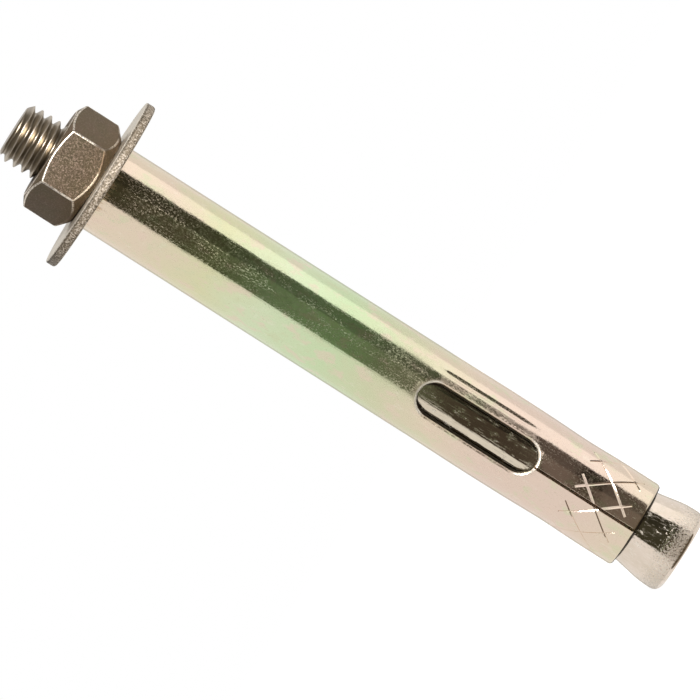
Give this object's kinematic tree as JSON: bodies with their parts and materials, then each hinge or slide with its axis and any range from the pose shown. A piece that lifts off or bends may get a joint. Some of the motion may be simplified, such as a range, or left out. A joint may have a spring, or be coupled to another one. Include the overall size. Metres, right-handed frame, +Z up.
{
  "type": "sleeve anchor bolt",
  "caption": "Hex-nut sleeve anchor: cone-ended threaded stud in a split, rolled expansion sleeve with a washer and nut, for fixing through a part into a drilled hole.",
  "frame": {"origin": "centre of the flat end face of the cone, on the stud's axis, where the anchor stands", "axes": "+Z up the stud's axis from the cone end to the nut; -Y is the middle of the window that faces the front"},
  "size_m": [0.0236, 0.0236, 0.0991],
  "materials": {
    "stud_steel": "bright yellow-passivated zinc on cold-formed steel",
    "sleeve_steel": "bright, iridescent yellow-passivated zinc on rolled sheet steel",
    "washer_steel": "yellow-passivated zinc on punched steel, grainy sheared rim",
    "nut_steel": "yellow-passivated zinc on cold-formed steel, grainy flats"
  },
  "bodies": {
    "stud": {"stud": "stud_steel"},
    "sleeve": {"sleeve": "sleeve_steel"},
    "washer": {"washer": "washer_steel"},
    "nut": {"nut": "nut_steel"}
  },
  "joints": [
    {"name": "washer_lift", "type": "slide", "parent": "stud", "child": "washer", "axis": [0, 0, 1], "range_m": [0, 0.01125]},
    {"name": "nut_turn", "type": "hinge", "parent": "washer", "child": "nut", "pos_m": [0, 0, 0.0903], "axis": [0, 0, 1], "range_deg": [0, 3240]},
    {"name": "sleeve_turn", "type": "hinge", "parent": "stud", "child": "sleeve", "pos_m": [0, 0, 0.046], "axis": [0, 0, 1], "continuous": true}
  ],
  "couplings": [
    {"joint": "washer_lift", "follows": "nut_turn", "m_per_rad": 0.00019894}
  ]
}
